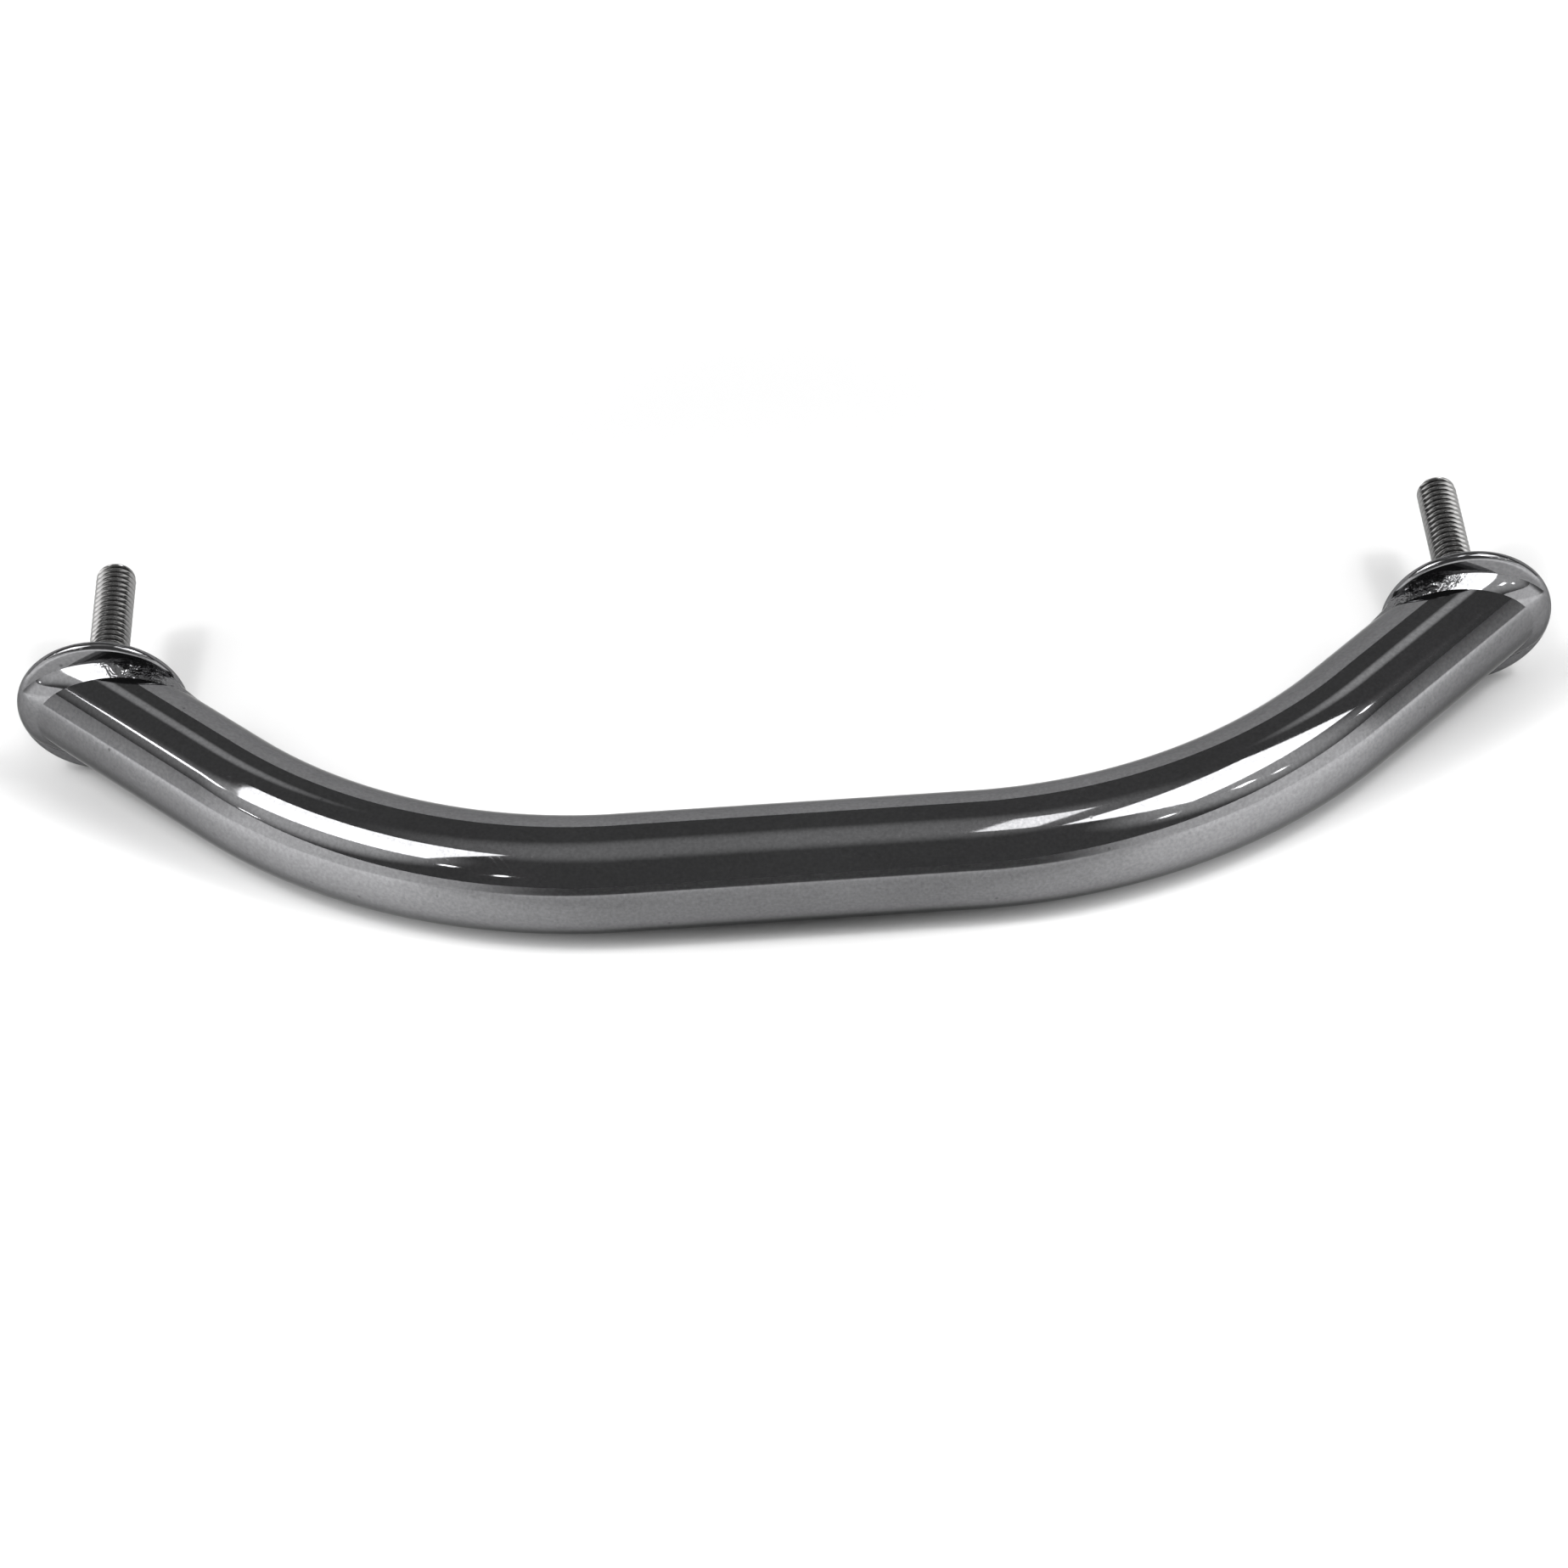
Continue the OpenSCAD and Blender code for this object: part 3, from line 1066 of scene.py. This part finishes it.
def floor_lie():
    """The floor's tilt and a point on it. The rail lies on its two flanges' rims and on its bow,
    so the floor is the plane that touches a rim's round edge and the underside of the grip."""
    rim = Vector((0, -rim_radius(), -flat_radius()))
    bow = Vector((0, TUBE_R - RAIL_HEIGHT, 0))
    span = bow - rim
    tilt = math.atan2(span.z, -span.y) - math.asin((TUBE_R - rim_radius()) / span.length)
    normal = Vector((0, math.sin(tilt), math.cos(tilt)))
    return tilt, rim - normal * rim_radius()


def floor_glow(tree):
    """What the floor adds to the light on it, to the camera's eye and in the steel, as a glow painted
    on. Near the rail it is brightest in a painted pool of light beside each bend, and far off to the
    front's left and right."""
    path = tree.nodes.new("ShaderNodeLightPath")
    seen = (
        Term(tree, path.outputs["Is Camera Ray"])
        + Term(tree, path.outputs["Is Glossy Ray"])
        + Term(tree, path.outputs["Is Transmission Ray"])
    ).at_most(1)
    place = tree.nodes.new("ShaderNodeTexCoord")
    spot = new_node(tree, "ShaderNodeSeparateXYZ", {0: place.outputs["Object"]})
    x, y = (Term(tree, spot.outputs[k]) for k in range(2))
    aside, forward = x.size(), -y
    away = (x * x + y * y).root().at_least(0.01)

    # Near: a slow rise outwards, and the painted pools of light, which the occlusion darkens close
    # under the rail as painted shadow
    shade = new_node(tree, "ShaderNodeAmbientOcclusion", {"Distance": 0.06}, samples=4)
    pool = (aside - forward * 0.8).eased(-0.046, 0.049) * forward.eased(0.01, 0.08)
    open_sky = Term(tree, shade.outputs["AO"])
    near = away.eased(0.1, 0.3) * 0.36 + pool * open_sky * 1.25

    # Far: bright at the front's sides, with gaps straight ahead, straight aside and to the right
    ahead, sideways, rightward = forward / away, aside / away, x / away
    sides = sideways.eased(0.2, 0.9) * ahead.eased(0.0, 0.4)
    gap = (
        ahead.eased(0.84, 0.99) + sideways.eased(0.93, 1.0) * 0.5 + rightward.eased(0.95, 0.99) * 0.6
    )
    far = (0.75 + sides * 1.1 - gap * 0.75).at_least(0)
    blend = away.eased(0.35, 0.9)
    return seen * (near + (far - near) * blend)


def studio_floor():
    """A pale floor that curves up into a low backdrop all round. The floor lies under the rail as
    it tilts there, and the backdrop's edge tilts the other way."""
    studio = bpy.context.scene.grab_rail_studio
    # Radius of the curve between floor and backdrop, and steps round the floor
    curve, steps = 0.6, 128
    profile = [(r, 0.0) for r in (0.0, 0.5, 1.2, studio.floor_radius)]
    profile += arc((studio.floor_radius, curve), curve, -90, 0, 24)[1:]
    profile += [(studio.floor_radius + curve, studio.backdrop_height)]
    tilt, place = floor_lie()
    points = [
        (r * math.cos(t), r * math.sin(t),
         h - r * math.sin(t) * math.tan(tilt) * (1 - 2 * h / studio.backdrop_height))
        for t in np.linspace(0, 2 * math.pi, steps, endpoint=False) for r, h in profile
    ]
    across = len(profile)
    faces = []
    for i in range(steps):
        here, there = i * across, (i + 1) % steps * across
        faces += [(here + j, here + j + 1, there + j + 1, there + j) for j in range(across - 1)]
    mesh = bpy.data.meshes.new("studio_floor")
    mesh.from_pydata(points, [], faces)
    mesh.shade_smooth()
    mesh.transform(Matrix.Translation(place))
    put("studio_floor", mesh)

    material = bpy.data.materials.new("pale_floor")
    material.use_nodes = True
    tree = material.node_tree
    tree.nodes.clear()
    paint = new_node(tree, "ShaderNodeBsdfDiffuse", {"Color": (*studio.floor_color, 1)})
    glow = new_node(tree, "ShaderNodeEmission", {"Color": (1, 1, 1, 1), "Strength": floor_glow(tree)})
    both = new_node(tree, "ShaderNodeAddShader", {0: paint.outputs[0], 1: glow.outputs[0]})
    new_node(tree, "ShaderNodeOutputMaterial", {"Surface": both.outputs[0]})
    mesh.materials.append(material)


def direction(azimuth, elevation):
    """Unit vector. The azimuth is 0 towards the camera's side, -Y, and 90 towards +X, in degrees."""
    a, e = math.radians(azimuth), math.radians(elevation)
    return Vector((math.sin(a) * math.cos(e), -math.cos(a) * math.cos(e), math.sin(e)))


def lamp(name, aim, azimuth, elevation, distance, size, roll, power):
    """A rectangular soft box that faces the point it is aimed at."""
    data = bpy.data.lights.new(name, "AREA")
    data.shape = "RECTANGLE"
    data.size, data.size_y = size
    data.energy = power
    box = put(name, data)
    toward = direction(azimuth, elevation)
    box.location = Vector(aim) + toward * distance
    turn = toward.to_track_quat("Z", "Y").to_matrix() @ Matrix.Rotation(math.radians(roll), 3, "Z")
    box.rotation_euler = turn.to_euler()
    box.visible_camera = False


def studio_lamps():
    """A large soft box on each side with a bright flash tube in its middle, a small lamp overhead,
    and small lamps far off in the room, which show as sparks and hairlines in the polish."""
    power = bpy.context.scene.grab_rail_studio.soft_box_power
    box_share, flash_share, overhead_share = 0.82, 0.28, 0.055
    box_distance, flash_distance, flash_size = 0.814, 0.80, (0.11, 0.09)
    # The lamps on each side aim at that side's bend
    left, right = (-0.0875, -0.044, 0), (0.0875, -0.044, 0)
    for side, aim, azimuth, elevation, size, roll in (
        ("left", left, -75.4, 58.8, (0.444, 0.371), 31),
        ("right", right, 76.1, 62.8, (0.457, 0.353), -8),
    ):
        toward = (aim, azimuth, elevation)
        lamp(f"{side}_soft_box", *toward, box_distance, size, roll, power * box_share)
        lamp(f"{side}_tube", *toward, flash_distance, flash_size, roll, power * flash_share)
    lamp(
        "overhead_lamp", aim=(0.041, -0.055, 0), azimuth=80, elevation=83, distance=0.61,
        size=(0.21, 0.075), roll=0, power=power * overhead_share,
    )
    # Distance of the far lamps in metres, and their watts for each square metre
    far, brightness = 2.4, 32
    for aim, azimuth, elevation, wide, high in (
        (left, -37, 45, 0.1, 0.1), (left, -24, 38, 0.09, 0.09), (left, -91, 38.7, 0.3, 0.08),
        (left, -72, 26, 0.16, 0.04), (right, 40, 40, 0.09, 0.09), (right, 58, 41, 0.12, 0.12),
        (right, 63, 35, 0.08, 0.08), (right, 87, 37, 0.09, 0.09),
    ):
        lamp("far_lamp", aim, azimuth, elevation, far, (wide, high), 0, wide * high * brightness)


def studio_world():
    """A dim room, with a glow overhead, one low beside each soft box and two small ones behind."""
    studio = bpy.context.scene.grab_rail_studio
    world = bpy.data.worlds.new("studio")
    bpy.context.scene.world = world
    world.use_nodes = True
    tree = world.node_tree
    tree.nodes.clear()
    look = tree.nodes.new("ShaderNodeTexCoord").outputs["Generated"]
    strength = 1
    # Each glow: its azimuth, its elevation, its radius in degrees and its strength
    for azimuth, elevation, radius, glow in (
        (-68, 44, 24, 7.5), (62, 44, 25, 6), (0, 90, 25, 2.3), (-154, 49, 8, 4), (145, 51, 9, 5),
    ):
        toward = new_node(
            tree, "ShaderNodeVectorMath", {0: look, 1: direction(azimuth, elevation)},
            operation="DOT_PRODUCT",
        )
        edge = math.cos(math.radians(radius))
        strength = Term(tree, toward.outputs["Value"]).eased(edge, 1.0) * glow + strength
    back = new_node(
        tree, "ShaderNodeBackground", {"Color": (*studio.room_color, 1), "Strength": strength},
    )
    new_node(tree, "ShaderNodeOutputWorld", {"Surface": back.outputs[0]})


def studio_camera():
    studio = bpy.context.scene.grab_rail_studio
    data = bpy.data.cameras.new("camera")
    data.lens = studio.lens
    data.sensor_width = 36
    camera = put("camera", data)
    azimuth, elevation = studio.camera_azimuth, studio.camera_elevation
    look = Vector((
        math.sin(azimuth) * math.cos(elevation),
        math.cos(azimuth) * math.cos(elevation),
        -math.sin(elevation),
    ))
    place = Matrix.Translation(Vector(studio.camera_aim) - look * studio.camera_distance)
    turn = look.to_track_quat("-Z", "Y").to_matrix().to_4x4()
    camera.matrix_world = place @ turn @ Matrix.Rotation(studio.camera_roll, 4, "Z")
    bpy.context.scene.camera = camera


class GRABRAIL_OT_studio(bpy.types.Operator):
    """Set up the pale floor, the soft boxes, the room and the camera"""

    bl_idname = "grab_rail.studio"
    bl_label = "Studio"

    def execute(self, context):
        studio_floor()
        studio_lamps()
        studio_world()
        studio_camera()
        context.scene.view_settings.view_transform = "Standard"
        return {"FINISHED"}


# ---- The add-on ----


PIECES = (
    GRABRAIL_OT_tube, GRABRAIL_OT_flanges, GRABRAIL_OT_neck_welds,
    GRABRAIL_OT_studs, GRABRAIL_OT_stud_welds, GRABRAIL_OT_studio,
)


class GRABRAIL_PT_panel(bpy.types.Panel):
    """Sizes, finishes and build steps of the grab rail."""

    bl_idname = "GRABRAIL_PT_panel"
    bl_label = "Grab Rail"
    bl_space_type = "VIEW_3D"
    bl_region_type = "UI"
    bl_category = "Grab Rail"

    def draw(self, context):
        for title, group in SETTINGS.items():
            box = self.layout.box()
            box.label(text=group.__doc__)
            settings = getattr(context.scene, title)
            for name in group.__annotations__:
                box.prop(settings, name)
        for piece in PIECES:
            self.layout.operator(piece.bl_idname)


SETTINGS = {
    "grab_rail": RailSettings,
    "grab_rail_flange": FlangeSettings,
    "grab_rail_stud": StudSettings,
    "grab_rail_finish": FinishSettings,
    "grab_rail_studio": StudioSettings,
}


def register():
    for title, group in SETTINGS.items():
        bpy.utils.register_class(group)
        setattr(bpy.types.Scene, title, PointerProperty(type=group))
    for piece in PIECES:
        bpy.utils.register_class(piece)
    bpy.utils.register_class(GRABRAIL_PT_panel)


def unregister():
    bpy.utils.unregister_class(GRABRAIL_PT_panel)
    for piece in reversed(PIECES):
        bpy.utils.unregister_class(piece)
    for title, group in SETTINGS.items():
        delattr(bpy.types.Scene, title)
        bpy.utils.unregister_class(group)


def main():
    register()
    bpy.ops.grab_rail.tube()
    bpy.ops.grab_rail.flanges()
    bpy.ops.grab_rail.neck_welds()
    bpy.ops.grab_rail.studs()
    bpy.ops.grab_rail.stud_welds()
    bpy.ops.grab_rail.studio()


if __name__ == "__main__":
    main()
